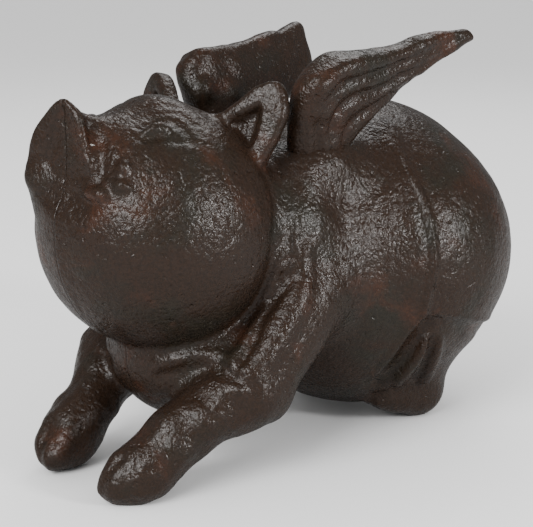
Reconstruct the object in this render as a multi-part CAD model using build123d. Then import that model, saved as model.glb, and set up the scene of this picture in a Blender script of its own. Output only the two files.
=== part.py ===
"""Winged pig figurine in cast iron: a hollow body in two halves, two bolted wings and their fasteners.

The pig lies on its belly with its head turned up. The snout points along -Y, its left side is +X,
and it rests on z = 0. All sizes are in millimetres. The two halves meet on the plane x = 0.
"""
from build123d import *
from math import cos, radians, sin, sqrt
import os

os.makedirs("parts", exist_ok=True)

# Body shell
body_length = 88.0
body_width = 82.0
body_height = 87.4
belly_clearance = 2.4
iron_wall = 4.5
haunch_diameter = 71.6
haunch_side_offset = 9.0
haunch_setback = 3.2
haunch_rise = 1.9

# Chest: a solid swelling under the neck, between the forelegs
chest_length = 44.0
chest_width = 46.0
chest_height = 38.0
chest_forward = 59.0
chest_drop = 16.0

# Head and neck: the neck is a cone from the centre of the head to the centre of the body
head_diameter = 60.6
head_reach = 70.0
head_rise = 16.2
neck_front_diameter = 44.0
neck_rear_inset = 8.0

# Snout: a blunt cone that ends in an upright oval disc with a raised rim and two nostrils
snout_reach = 98.0
snout_lip_rise = 31.9
snout_tilt = 3.0
snout_disc_width = 19.0
snout_disc_height = 17.2
snout_middle_diameter = 26.0
snout_middle_share = 0.42
snout_root_diameter = 44.0
snout_root_forward = 9.0
snout_root_rise = 4.0
snout_rim_width = 1.8
snout_rim_height = 1.0
nostril_diameter = 3.2
nostril_spacing = 6.6
nostril_depth = 2.0

# Forehead: a low swelling over the brows
forehead_length = 24.0
forehead_width = 32.0
forehead_height = 29.0
forehead_forward = 2.7
forehead_rise = 17.7

# Ears: thick leaning triangles with a cupped front
ear_side_angle = 50.0
ear_height_angle = 46.0
ear_base_width = 18.0
ear_height = 16.0
ear_lean = 4.4
ear_thickness = 4.6
ear_rim_width = 3.4
ear_cup_depth = 2.2
ear_sink = 6.0
ear_tip_width = 3.0
ear_base_direction_shares = (0.647, 0.202, -0.735)
ear_face_direction_shares = (0.528, -0.814, 0.242)

# Forelegs: each section is shares of the spread, the reach, the elbow height and the leg's diameter
foreleg_spread = 22.0
foreleg_reach = 96.5
elbow_height = 24.0
foreleg_diameter = 17.2
upper_arm_section_shares = (
    (0.77, 0.33, 2.08, 1.16),
    (1.00, 0.42, 1.83, 1.28),
    (1.11, 0.53, 1.42, 1.105),
    (1.145, 0.63, 1.01, 0.907),
)
arm_ridge_section_shares = (
    (1.27, 0.46, 2.29, 0.30),
    (1.36, 0.536, 1.854, 0.74),
    (1.377, 0.582, 1.646, 0.81),
    (1.364, 0.624, 1.4375, 0.77),
    (1.32, 0.676, 1.25, 0.47),
)
forearm_section_shares = (
    (1.10, 0.608, 0.95, 1.00),
    (1.05, 0.66, 0.967, 1.116),
    (0.91, 0.755, 0.80, 1.023),
    (0.786, 0.84, 0.567, 0.93),
    (0.70, 0.909, 0.3125, 0.93),
    (0.632, 0.96, 0.225, 0.674),
    (0.59, 0.992, 0.17, 0.419),
)

# Hind feet: a short leg down to the hock, then the foot. Sections are shares of the spread,
# the reach, the hock height and the foot's diameter.
hind_foot_spread = 25.0
hind_foot_reach = 13.0
hock_height = 20.0
hind_foot_diameter = 16.5
hind_leg_top_shares = (0.86, -0.30, 1.50, 1.40)
hock_shares = (0.74, -0.50, 0.41, 1.04)
hind_foot_section_shares = (
    hock_shares,
    (0.76, 0.15, 0.43, 0.88),
    (0.74, 0.82, 0.44, 0.42),
)

# Hooves: a cleft in the front of each
hoof_cleft_width = 1.6
hoof_cleft_depth = 5.0

# Tail: a curl in relief on the rump
tail_curl_diameter = 11.0
tail_thickness = 4.4
tail_rise = 20.0

# Wings: a blade of overlapping feathers on a foot that is seated on the back.
# Each section of a blade is shares of the length, sweep, rise, height and thickness.
wing_side_offset = 17.0
wing_foot_reach = 29.5
wing_foot_length = 15.0
wing_foot_width = 8.6
wing_foot_height = 15.0
wing_foot_top_share = 0.85
wing_length = 52.5
wing_height = 24.0
wing_thickness = 10.4
wing_rise = 17.0
wing_sweep_out = 9.0
wing_lean = 15.0
wing_rake = 13.0
wing_front_overhang = 9.5
wing_front_rise = 14.9
left_wing_section_shares = (
    (0.00, 0.00, 0.00, 0.50, 0.50),
    (0.05, 0.00, 0.00, 0.93, 0.95),
    (0.22, 0.08, 0.24, 0.92, 0.96),
    (0.45, 0.28, 0.46, 0.68, 0.78),
    (0.68, 0.58, 0.68, 0.47, 0.58),
    (0.92, 0.93, 0.96, 0.25, 0.36),
    (1.00, 1.00, 1.04, 0.12, 0.18),
)
right_wing_section_shares = (
    (-0.05, 0.05, 0.10, 0.50, 0.50),
    (0.00, 0.05, 0.11, 0.95, 1.05),
    (0.22, 0.10, 0.22, 0.96, 1.00),
    (0.45, 0.28, 0.43, 0.82, 0.80),
    (0.68, 0.42, 0.64, 0.68, 0.60),
    (0.83, 0.50, 0.76, 0.54, 0.40),
    (0.89, 0.52, 0.78, 0.36, 0.22),
)

# Feathers: each runs between two shares of the blade's length, at a share of its height off the middle
feather_height = 6.6
feather_swell = 0.9
feather_end_share = 0.45
feather_shares = (
    (0.10, 0.90, 0.20),
    (0.14, 0.76, -0.08),
    (0.18, 0.58, -0.34),
)

# Wing fixing: a tenon through the back, with a washer and a screw inside the body
seat_depth = 3.5
seat_clearance = 0.2
tenon_diameter = 7.0
tenon_clearance = 0.3
tenon_shortfall = 0.4
seat_pad_diameter = 15.0
seat_pad_thickness = 7.0
washer_diameter = 11.0
washer_thickness = 1.2
washer_room_clearance = 0.8
wing_screw_length = 14.0

# Screws, all of one thread and head
screw_diameter = 4.0
screw_hole_clearance = 0.5
thread_clearance = 0.1
screw_head_diameter = 7.4
screw_head_height = 3.0
screw_slot_width = 1.1
screw_slot_depth = 1.3
thread_runout = 2.0

# Tie screws: they enter at the right side and end in blind bosses of the left half
tie_thread_engagement = 12.0
tie_boss_diameter = 12.0
counterbore_clearance = 0.8
counterbore_depth = 5.0
chest_screw_forward = 17.0
chest_screw_drop = 14.0
rump_screw_setback = 22.0
rump_screw_rise = 5.0

# Dowels on the parting plane
dowel_diameter = 3.0
dowel_length = 12.0
dowel_clearance = 0.1
dowel_end_gap = 0.5
dowel_pad_diameter = 9.0
dowel_pad_length = 9.0
front_dowel_angle = 42.0
rear_dowel_rise = 15.0

# One overrun for every cut that has to pass a face, and a span larger than the pig
cut_overrun = 2.0
wide_span = 400.0
half_turn = 180.0

# Places that follow from the driving sizes
front_reach = head_reach + head_diameter / 2
body_centre = Vector(0, (front_reach - body_length / 2) / 2, body_height / 2 + belly_clearance)
head_centre = body_centre + Vector(0, -head_reach, head_rise)
neck_rear_diameter = body_width - neck_rear_inset
haunch_centre = body_centre + Vector(haunch_side_offset, haunch_setback, haunch_rise)
chest_centre = body_centre + Vector(0, -chest_forward, -chest_drop)
forehead_centre = head_centre + Vector(0, -forehead_forward, forehead_rise)
disc_normal = Vector(0, -cos(radians(snout_tilt)), sin(radians(snout_tilt)))
disc_up = Vector(0, sin(radians(snout_tilt)), cos(radians(snout_tilt)))
snout_lip = body_centre + Vector(0, -snout_reach, snout_lip_rise)
disc_centre = snout_lip + disc_up * (snout_disc_height / 2)
sideways = Vector(1, 0, 0)
upward = Vector(0, 0, 1)
from_low = (Align.CENTER, Align.CENTER, Align.MIN)


def between(low, high, share):
    """The value at a share of the way from one to another."""
    return low + (high - low) * share


def ball(centre, diameter):
    """A solid sphere on a point, with its seam away from the left side."""
    return Pos(*centre) * Rot(0, 0, half_turn) * Sphere(diameter / 2)


def egg(centre, length, width, height):
    """An egg that lies along Y, as a solid of revolution drawn in to its width."""
    outline = Ellipse(height / 2, length / 2) & Rectangle(height, length * 2, align=(Align.MIN, Align.CENTER))
    return Pos(*centre) * scale(revolve(outline, Axis.Y), by=(width / height, 1, 1))


def bar(start, end, start_diameter, end_diameter):
    """A straight round bar between two points, tapered where its ends differ."""
    way = end - start
    if start_diameter == end_diameter:
        body = Cylinder(start_diameter / 2, way.length, align=from_low)
    else:
        body = Cone(start_diameter / 2, end_diameter / 2, way.length, align=from_low)
    return Plane(origin=start, z_dir=way) * body


def rod(start, way, length, diameter):
    """A round rod from a point along a unit direction."""
    return bar(start, start + way * length, diameter, diameter)


def together(pieces):
    """The union of several solids."""
    whole = pieces[0]
    for piece in pieces[1:]:
        whole = whole + piece
    return whole


# Limbs


def sections_of(shares, spread, reach, height, diameter):
    """Centres and diameters of a limb's sections, from its shares of the leg's sizes."""
    sections = []
    for side, forward, up, thickness in shares:
        centre = Vector(spread * side, body_centre.Y - reach * forward, height * up)
        sections.append((centre, diameter * thickness))
    return sections


def limb(sections):
    """A smooth limb through round sections, each given as its centre and its diameter."""
    centres = [centre for centre, diameter in sections]
    rounds = []
    for place, (centre, diameter) in enumerate(sections):
        before = centres[max(place - 1, 0)]
        after = centres[min(place + 1, len(centres) - 1)]
        rounds.append(Plane(origin=centre, z_dir=after - before) * Circle(diameter / 2))
    return loft(rounds)


def cloven(leg, sections):
    """The leg with a cleft in the front of its hoof, in line with its last stretch."""
    tip = sections[-1][0]
    back = sections[-2][0]
    way = Vector(tip.X - back.X, tip.Y - back.Y, 0)
    cleft = Box(hoof_cleft_depth * 2, hoof_cleft_width, wide_span)
    return leg - Plane(origin=Vector(tip.X, tip.Y, 0), x_dir=way, z_dir=upward) * cleft


def foreleg():
    """Upper arm with its outer ridge, elbow, forearm and hoof of the left foreleg."""
    sizes = (foreleg_spread, foreleg_reach, elbow_height, foreleg_diameter)
    upper = sections_of(upper_arm_section_shares, *sizes)
    fore = sections_of(forearm_section_shares, *sizes)
    elbow_centre, elbow_diameter = upper[-1]
    ridge = limb(sections_of(arm_ridge_section_shares, *sizes))
    return limb(upper) + ridge + ball(elbow_centre, elbow_diameter) + cloven(limb(fore), fore)


def hind_foot():
    """Leg, hock and hoof of the left hind leg, tucked under the haunch."""
    sizes = (hind_foot_spread, hind_foot_reach, hock_height, hind_foot_diameter)
    (top, top_diameter), (hock, hock_diameter) = sections_of((hind_leg_top_shares, hock_shares), *sizes)
    foot = sections_of(hind_foot_section_shares, *sizes)
    return bar(top, hock, top_diameter, hock_diameter) + ball(hock, hock_diameter) + cloven(limb(foot), foot)


# Head and tail


def snout():
    """The blunt snout with the raised rim round its disc."""
    root_centre = head_centre + Vector(0, -snout_root_forward, snout_root_rise)
    way = disc_centre - root_centre
    middle = disc_centre - way * snout_middle_share
    disc_plane = Plane(origin=disc_centre, x_dir=sideways, z_dir=disc_normal)
    disc = Ellipse(snout_disc_width / 2, snout_disc_height / 2)
    cone = loft([
        Plane(origin=root_centre, x_dir=sideways, z_dir=way) * Circle(snout_root_diameter / 2),
        Plane(origin=middle, x_dir=sideways, z_dir=way) * Circle(snout_middle_diameter / 2),
        disc_plane * disc,
    ])
    rim = disc - Ellipse(snout_disc_width / 2 - snout_rim_width, snout_disc_height / 2 - snout_rim_width)
    return cone + extrude(disc_plane * rim, snout_rim_height)


def nostril():
    """The left nostril hole, to be cut."""
    place = disc_centre + sideways * (nostril_spacing / 2)
    return rod(place - disc_normal * nostril_depth, disc_normal, nostril_depth + cut_overrun, nostril_diameter)


def ear():
    """The left ear: a leaning triangle with a cupped face, sunk into the head."""
    side = radians(ear_side_angle)
    height = radians(ear_height_angle)
    way = Vector(cos(height) * sin(side), cos(height) * cos(side), sin(height))
    plane = Plane(
        origin=head_centre + way * (head_diameter / 2),
        x_dir=Vector(*ear_base_direction_shares),
        z_dir=Vector(*ear_face_direction_shares),
    )
    half = ear_base_width / 2
    tip = ear_tip_width / 2
    outline = Polyline(
        (-half, -ear_sink), (half, -ear_sink), (half, 0), (tip - ear_lean, ear_height),
        (-tip - ear_lean, ear_height), (-half, 0), close=True,
    )
    cup = Polyline(
        (-half + ear_rim_width, 0), (half - ear_rim_width, 0), (-ear_lean, ear_height - ear_rim_width - tip),
        close=True,
    )
    flap = extrude(plane * make_face(outline), ear_thickness / 2, both=True)
    hollow = extrude(plane.offset(ear_thickness / 2 - ear_cup_depth) * make_face(cup), ear_thickness)
    return flap - hollow


def tail():
    """A curled tail in relief on the rump."""
    rump_y = body_centre.Y + body_length / 2 * sqrt(1 - (2 * tail_rise / body_height) ** 2)
    centre = Vector(0, rump_y, body_centre.Z + tail_rise)
    ring = Torus((tail_curl_diameter - tail_thickness) / 2, tail_thickness / 2)
    return Plane(origin=centre, z_dir=Vector(0, 1, 0)) * ring


# Where the wings, screws and dowels sit in the body


def neck_top(side, y):
    """Height of the neck's surface at a place on the back."""
    share = (y - head_centre.Y) / (body_centre.Y - head_centre.Y)
    middle = between(head_centre.Z, body_centre.Z, share)
    diameter = between(neck_front_diameter, neck_rear_diameter, share)
    return middle + sqrt((diameter / 2) ** 2 - side ** 2)


def body_side(forward, rise):
    """How far the body reaches sideways, at a place measured from its centre."""
    left_over = 1 - (2 * forward / body_length) ** 2 - (2 * rise / body_height) ** 2
    return body_width / 2 * sqrt(left_over)


wing_foot_y = body_centre.Y - wing_foot_reach
seat_centre = Vector(wing_side_offset, wing_foot_y, neck_top(wing_side_offset, wing_foot_y) - seat_depth)
pad_underside = seat_centre - upward * seat_pad_thickness
wing_screw_seat = pad_underside - upward * washer_thickness

chest_screw_place = body_centre + Vector(0, -chest_screw_forward, -chest_screw_drop)
rump_screw_place = body_centre + Vector(0, rump_screw_setback, rump_screw_rise)
tie_screws = {
    "head_tie_screw": (head_centre, head_diameter / 2),
    "chest_tie_screw": (chest_screw_place, body_side(chest_screw_forward, chest_screw_drop)),
    "rump_tie_screw": (rump_screw_place, body_side(rump_screw_setback, rump_screw_rise)),
}

front_dowel_way = Vector(0, -cos(radians(front_dowel_angle)), sin(radians(front_dowel_angle)))
front_dowel_place = head_centre + front_dowel_way * (head_diameter / 2 + dowel_diameter / 2)
core_length = body_length - 2 * iron_wall
core_height = body_height - 2 * iron_wall
rear_dowel_setback = core_length / 2 * sqrt(1 - (2 * rear_dowel_rise / core_height) ** 2)
rear_dowel_place = body_centre + Vector(0, rear_dowel_setback, rear_dowel_rise)
dowels = {"front_dowel": front_dowel_place, "rear_dowel": rear_dowel_place}


def wing_foot(clearance):
    """The leaning foot of a left wing, or with a clearance the room for it in the back."""
    oval = Ellipse(wing_foot_width / 2 + clearance, wing_foot_length / 2 + clearance)
    top = seat_centre + Vector(wing_foot_height * sin(radians(wing_lean)), 0, wing_foot_height)
    return loft([Pos(*seat_centre) * oval, Pos(*top) * scale(oval, wing_foot_top_share)])


# Body halves


def outside():
    """The outside of the left half, flat on the parting plane and on the ground."""
    form = together([
        egg(body_centre, body_length, body_width, body_height),
        ball(haunch_centre, haunch_diameter),
        egg(chest_centre, chest_length, chest_width, chest_height),
        ball(head_centre, head_diameter),
        bar(head_centre, body_centre, neck_front_diameter, neck_rear_diameter),
        egg(forehead_centre, forehead_length, forehead_width, forehead_height),
        snout(),
        foreleg(),
        hind_foot(),
        ear(),
        tail(),
    ])
    left_room = Box(wide_span, wide_span, wide_span, align=(Align.MIN, Align.CENTER, Align.MIN))
    return form & left_room


def core():
    """The hollow inside: one wall smaller than body, haunch, head and neck, with room round the bosses."""
    hollow = together([
        egg(body_centre, core_length, body_width - 2 * iron_wall, core_height),
        ball(haunch_centre, haunch_diameter - 2 * iron_wall),
        ball(head_centre, head_diameter - 2 * iron_wall),
        bar(head_centre, body_centre, neck_front_diameter - 2 * iron_wall, neck_rear_diameter - 2 * iron_wall),
    ])
    washer_room_height = washer_thickness + screw_head_height + washer_room_clearance
    hollow += rod(pad_underside, -upward, washer_room_height, washer_diameter + 2 * washer_room_clearance)
    hollow -= rod(pad_underside, upward, seat_pad_thickness + seat_depth, seat_pad_diameter)
    for place, side in tie_screws.values():
        hollow -= rod(place - sideways * cut_overrun, sideways, side + cut_overrun, tie_boss_diameter)
    hollow -= rod(rear_dowel_place, sideways, dowel_pad_length, dowel_pad_diameter)
    return hollow


def blank_half():
    """What both halves share, as the left one: shell, bosses, wing seat, nostril and dowel holes."""
    half = outside() - core() - wing_foot(seat_clearance)
    half -= rod(pad_underside - upward * cut_overrun, upward, seat_pad_thickness + 2 * cut_overrun,
                tenon_diameter + tenon_clearance)
    half -= nostril()
    for place in dowels.values():
        half -= rod(place - sideways * cut_overrun, sideways, dowel_length / 2 + dowel_end_gap + cut_overrun,
                    dowel_diameter + dowel_clearance)
    return half


def left_body_half(blank):
    """The half with blind tapped bosses."""
    half = blank
    for place, side in tie_screws.values():
        depth = tie_thread_engagement + thread_runout
        half -= rod(place - sideways * cut_overrun, sideways, depth + cut_overrun, screw_diameter + thread_clearance)
    return half


def right_body_half(blank):
    """The half with clearance holes and counterbores for the screw heads."""
    half = blank
    for place, side in tie_screws.values():
        floor = side - counterbore_depth
        half -= rod(place - sideways * cut_overrun, sideways, floor + 2 * cut_overrun,
                    screw_diameter + screw_hole_clearance)
        half -= rod(place + sideways * floor, sideways, wide_span, screw_head_diameter + counterbore_clearance)
    return mirror(half, about=Plane.YZ)


# Wings


def section_place(back, out, up, height, thickness):
    """Centre, height and thickness of one section of a blade, from its shares."""
    front = seat_centre + Vector(wing_front_rise * sin(radians(wing_lean)), -wing_front_overhang, wing_front_rise)
    centre = front + Vector(wing_sweep_out * out, wing_length * back, wing_rise * up)
    return centre, wing_height * height, wing_thickness * thickness


def section_between(section_shares, share):
    """The same for a place at a share of the way from a blade's front to its end."""
    place = between(section_shares[0][0], section_shares[-1][0], share)
    for low, high in zip(section_shares, section_shares[1:]):
        if low[0] <= place <= high[0]:
            part = (place - low[0]) / (high[0] - low[0])
            return section_place(*(between(a, b, part) for a, b in zip(low, high)))


def wing_oval(centre, height, thickness):
    """One tilted oval section of a blade or feather."""
    lean = radians(wing_lean)
    rake = radians(wing_rake)
    across = Vector(cos(lean), 0, -sin(lean))
    along = Vector(0, cos(rake), sin(rake))
    return Plane(origin=centre, x_dir=across, z_dir=along) * Ellipse(thickness / 2, height / 2)


def feather(section_shares, start, end, offset):
    """One feather that stands a little proud of both faces of the blade."""
    lean = radians(wing_lean)
    height_way = Vector(sin(lean), 0, cos(lean))
    ovals = []
    for share, size in ((start, feather_end_share), (between(start, end, 1 / 2), 1), (end, feather_end_share)):
        centre, height, thickness = section_between(section_shares, share)
        around = thickness * sqrt(1 - (2 * offset) ** 2) + 2 * feather_swell
        ovals.append(wing_oval(centre + height_way * (height * offset), feather_height * size, around))
    return loft(ovals)


def wing(section_shares):
    """A wing in the left place: blade, feathers, foot and tenon, with a tapped hole from below."""
    blade = loft([wing_oval(*section_place(*shares)) for shares in section_shares])
    feathers = [feather(section_shares, *shares) for shares in feather_shares]
    tenon = rod(seat_centre, -upward, seat_pad_thickness - tenon_shortfall, tenon_diameter)
    whole = together([blade, wing_foot(0), tenon] + feathers)
    hole_depth = wing_screw_length + thread_runout
    return whole - rod(wing_screw_seat, upward, hole_depth, screw_diameter + thread_clearance)


# Fasteners


def screw(seat, way, slot_way, length):
    """A cheese-head screw whose head rests on its seat and whose shank runs along the way."""
    head = rod(seat, way * -1, screw_head_height, screw_head_diameter)
    slot = Box(screw_head_diameter * 2, screw_slot_width, screw_slot_depth * 2)
    top = Plane(origin=seat - way * screw_head_height, x_dir=slot_way, z_dir=way)
    return head - top * slot + rod(seat, way, length, screw_diameter)


def washer():
    """A flat ring under the seat pad of the left wing."""
    ring = rod(pad_underside, -upward, washer_thickness, washer_diameter)
    return ring - rod(pad_underside + upward * cut_overrun, -upward, washer_thickness + 2 * cut_overrun,
                      screw_diameter + screw_hole_clearance)


def write(name, piece):
    """One sub-part, one file."""
    export_step(piece, f"parts/{name}.step")


blank = blank_half()
write("left_body_half", left_body_half(blank))
write("right_body_half", right_body_half(blank))

write("left_wing", wing(left_wing_section_shares))
write("right_wing", mirror(wing(right_wing_section_shares), about=Plane.YZ))

for name, (place, side) in tie_screws.items():
    floor = side - counterbore_depth
    write(name, screw(place - sideways * floor, sideways, upward, floor + tie_thread_engagement))

for name, place in dowels.items():
    write(name, rod(place - sideways * (dowel_length / 2), sideways, dowel_length, dowel_diameter))

wing_screw = screw(wing_screw_seat, upward, sideways, wing_screw_length)
write("left_wing_washer", washer())
write("right_wing_washer", mirror(washer(), about=Plane.YZ))
write("left_wing_screw", wing_screw)
write("right_wing_screw", mirror(wing_screw, about=Plane.YZ))
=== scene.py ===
"""The looks of a cast-iron winged pig: sculpted castings, lacquered rusty paint, and a plain studio."""
from math import cos, radians, sin

import bmesh
import bpy
import numpy as np
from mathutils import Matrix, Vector


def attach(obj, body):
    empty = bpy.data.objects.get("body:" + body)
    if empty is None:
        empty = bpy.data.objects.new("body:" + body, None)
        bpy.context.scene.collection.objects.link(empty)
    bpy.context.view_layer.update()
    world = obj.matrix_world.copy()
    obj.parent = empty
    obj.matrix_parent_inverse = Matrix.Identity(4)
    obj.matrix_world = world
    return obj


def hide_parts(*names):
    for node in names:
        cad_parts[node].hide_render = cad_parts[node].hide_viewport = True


bl_info = {
    "name": "Winged Pig Casting",
    "version": (1, 0, 0),
    "blender": (4, 5, 0),
    "location": "3D View > Sidebar > Pig",
    "description": "Sculpts a cast-iron winged pig round its CAD frame and gives it a lacquered finish",
    "category": "Add Mesh",
}

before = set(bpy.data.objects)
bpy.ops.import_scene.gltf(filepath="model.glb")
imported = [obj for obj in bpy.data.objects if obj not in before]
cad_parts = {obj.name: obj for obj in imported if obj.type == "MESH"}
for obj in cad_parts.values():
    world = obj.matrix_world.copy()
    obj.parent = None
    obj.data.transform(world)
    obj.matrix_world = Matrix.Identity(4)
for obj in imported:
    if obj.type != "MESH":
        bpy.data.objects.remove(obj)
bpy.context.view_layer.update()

MM = 0.001
# Sculpting is in millimetres, measured from this point of the frame
SCULPT_ORIGIN = (0, -3.55, 0)


# Clay: a block of space in millimetres, sampled on a grid, in which a form is built up and carved


EMPTY_DISTANCE = 20.0
FLATTEST_SLOPE = 0.05
LATTICE_CELLS = 64
LATTICE_SHIFT = 1000
# The corners of a cell of a grid
CORNERS = [(i, j, k) for i in (0, 1) for j in (0, 1) for k in (0, 1)]


def ease(share):
    """Makes a share between 0 and 1 start and end gently."""
    return share * share * (3 - 2 * share)


def soften(a, b, blend):
    """The smaller of two distances, with a fillet of about the blend's size where they meet."""
    if blend <= 0:
        return np.minimum(a, b)
    share = np.clip(0.5 + 0.5 * (b - a) / blend, 0, 1)
    return b * (1 - share) + a * share - blend * share * (1 - share)


class Clay:
    """A field of distances to a surface: below zero inside it."""

    def __init__(self, low, high, step):
        self.low = np.array(low, np.float32)
        self.step = step
        counts = np.ceil((np.array(high) - self.low) / step).astype(int) + 1
        self.axes = [self.low[i] + step * np.arange(counts[i], dtype=np.float32) for i in range(3)]
        self.field = np.full(counts, EMPTY_DISTANCE, np.float32)

    def window(self, form, margin=0):
        """The part of the grid round a form, and the form's values there."""
        value, low, high = form
        first = [int(max((low[i] - margin - self.low[i]) // self.step, 0)) for i in range(3)]
        last = [int(max((high[i] + margin - self.low[i]) // self.step + 2, 0)) for i in range(3)]
        part = tuple(slice(a, b) for a, b in zip(first, last))
        grid = np.meshgrid(*(self.axes[i][part[i]] for i in range(3)), indexing="ij", sparse=True)
        return part, value(*grid)

    def add(self, form, blend=0.0):
        """Joins a form on, with a fillet."""
        part, distance = self.window(form, blend + 2 * self.step)
        self.field[part] = soften(self.field[part], distance, blend)

    def cut(self, form, blend=0.0):
        """Carves a form away, with rounded edges."""
        part, distance = self.window(form, blend + 2 * self.step)
        self.field[part] = -soften(-self.field[part], distance, blend)

    def press(self, form):
        """Raises or sinks the surface where a form's depth isn't zero."""
        part, depth = self.window(form)
        self.field[part] += depth

    def corners(self, cells):
        """The distances at the eight corners of cells."""
        x, y, z = cells.T
        return {(i, j, k): self.field[x + i, y + j, z + k] for i, j, k in CORNERS}

    def sample(self, points):
        """Distance and its slope at any points."""
        place = (points - self.low) / self.step
        base = np.clip(np.floor(place).astype(int), 0, np.array(self.field.shape) - 2)
        x, y, z = (place - base).T
        value = 0
        slope = np.zeros((len(points), 3))
        for (i, j, k), corner in self.corners(base).items():
            wx, wy, wz = (x if i else 1 - x), (y if j else 1 - y), (z if k else 1 - z)
            value = value + corner * wx * wy * wz
            slope[:, 0] += corner * (1 if i else -1) * wy * wz
            slope[:, 1] += corner * (1 if j else -1) * wx * wz
            slope[:, 2] += corner * (1 if k else -1) * wx * wy
        return value, slope / self.step

    def settle(self, points, rounds=3):
        """Moves points onto the surface."""
        points = np.array(points, float)
        for _ in range(rounds):
            value, slope = self.sample(points)
            points -= slope * (value / np.maximum((slope ** 2).sum(1), FLATTEST_SLOPE))[:, None]
        return points

    def skin(self):
        """The surface as vertices and four-sided faces: one vertex in each cell that it crosses."""
        inside = self.field < 0
        count = np.zeros(np.array(inside.shape) - 1, np.int8)
        nx, ny, nz = count.shape
        for i, j, k in CORNERS:
            count += inside[i:i + nx, j:j + ny, k:k + nz]
        cells = np.argwhere((count > 0) & (count < 8))
        index = np.full(count.shape, -1, np.int32)
        index[tuple(cells.T)] = np.arange(len(cells))
        total = np.zeros((len(cells), 3))
        crossings = np.zeros(len(cells))
        values = self.corners(cells)
        for a in CORNERS:
            for axis in range(3):
                if a[axis]:
                    continue
                b = tuple(1 if i == axis else v for i, v in enumerate(a))
                crossed = (values[a] < 0) != (values[b] < 0)
                share = np.where(crossed, values[a] / np.where(crossed, values[a] - values[b], 1), 0)
                place = np.tile(np.array(a, float), (len(cells), 1))
                place[:, axis] += share
                total += place * crossed[:, None]
                crossings += crossed
        vertices = self.low + self.step * (cells + total / crossings[:, None])
        quads = []
        for axis in range(3):
            near = [slice(1, -1)] * 3
            near[axis] = slice(0, -1)
            far = list(near)
            far[axis] = slice(1, None)
            start, end = inside[tuple(near)], inside[tuple(far)]
            u, v = (axis + 1) % 3, (axis + 2) % 3
            for flips, crossed in ((False, start & ~end), (True, ~start & end)):
                edges = np.argwhere(crossed)
                edges[:, u] += 1
                edges[:, v] += 1
                ring = []
                for du, dv in ((-1, -1), (0, -1), (0, 0), (-1, 0)):
                    cell = edges.copy()
                    cell[:, u] += du
                    cell[:, v] += dv
                    ring.append(index[tuple(cell.T)])
                quads.append(np.stack(ring[::-1] if flips else ring, 1))
        quads = np.concatenate(quads)
        return self.relax(vertices, quads), quads

    def relax(self, vertices, quads, rounds=2):
        """Evens out the vertices along the surface."""
        for _ in range(rounds):
            total = np.zeros_like(vertices)
            count = np.zeros(len(vertices))
            for a, b in ((0, 1), (1, 2), (2, 3), (3, 0)):
                for i, j in ((a, b), (b, a)):
                    for axis in range(3):
                        total[:, axis] += np.bincount(quads[:, i], vertices[quads[:, j], axis], len(vertices))
                    count += np.bincount(quads[:, i], minlength=len(vertices))
            vertices = vertices * 0.5 + total / count[:, None] * 0.5
            vertices = self.settle(vertices, 1)
        return vertices

    def outward(self, vertices):
        """The way out of the clay at points of its skin."""
        slope = self.sample(vertices)[1]
        return slope / (np.linalg.norm(slope, axis=1)[:, None] + 1e-9)


# Forms: each is a distance function with its lowest and highest corner


def egg(centre, radii):
    """An egg with its three radii along the axes."""
    centre, radii = np.array(centre, float), np.array(radii, float)

    def distance(x, y, z):
        p = (x - centre[0], y - centre[1], z - centre[2])
        near = np.sqrt(sum((c / r) ** 2 for c, r in zip(p, radii)))
        slope = np.sqrt(sum((c / r ** 2) ** 2 for c, r in zip(p, radii)))
        return near * (near - 1) / (slope + 1e-4)

    return distance, centre - radii, centre + radii


def bore(floor, radius, length=20):
    """A round hole along +X from the middle of its floor."""
    x0, y0, z0 = floor

    def distance(x, y, z):
        side = np.sqrt((y - y0) ** 2 + (z - z0) ** 2) - radius
        return np.maximum(side, x0 - x)

    low, high = (x0, y0 - radius, z0 - radius), (x0 + length, y0 + radius, z0 + radius)
    return distance, np.array(low), np.array(high)


def smooth_rows(rows, steps):
    """A table of numbers passed through smoothly, with more rows between."""
    rows = np.array(rows, float)
    padded = np.vstack([2 * rows[0] - rows[1], rows, 2 * rows[-1] - rows[-2]])
    fine = []
    for a, b, c, d in zip(padded, padded[1:], padded[2:], padded[3:]):
        for share in np.linspace(0, 1, steps, endpoint=False):
            fine.append(0.5 * (2 * b + (c - a) * share + (2 * a - 5 * b + 4 * c - d) * share ** 2
                               + (3 * b - a - 3 * c + d) * share ** 3))
    fine.append(rows[-1])
    return np.array(fine)


def off_segment(start, end, x, y, z):
    """How far along a segment its nearest point lies, as a share, and the three steps from there."""
    way = end - start
    ahead = (x - start[0]) * way[0] + (y - start[1]) * way[1] + (z - start[2]) * way[2]
    share = np.clip(ahead / (way @ way), 0, 1)
    return share, [c - start[i] - share * way[i] for i, c in enumerate((x, y, z))]


def limb(rows, steps=4):
    """A smooth round limb through rows of x, y, z and radius."""
    fine = smooth_rows(rows, steps)
    points, radii = fine[:, :3], fine[:, 3]

    def distance(x, y, z):
        best = None
        for a, b, ra, rb in zip(points, points[1:], radii, radii[1:]):
            share, (dx, dy, dz) = off_segment(a, b, x, y, z)
            away = np.sqrt(dx ** 2 + dy ** 2 + dz ** 2) - (ra + (rb - ra) * share)
            best = away if best is None else np.minimum(best, away)
        return best

    wide = radii[:, None]
    return distance, (points - wide).min(0), (points + wide).max(0)


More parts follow.
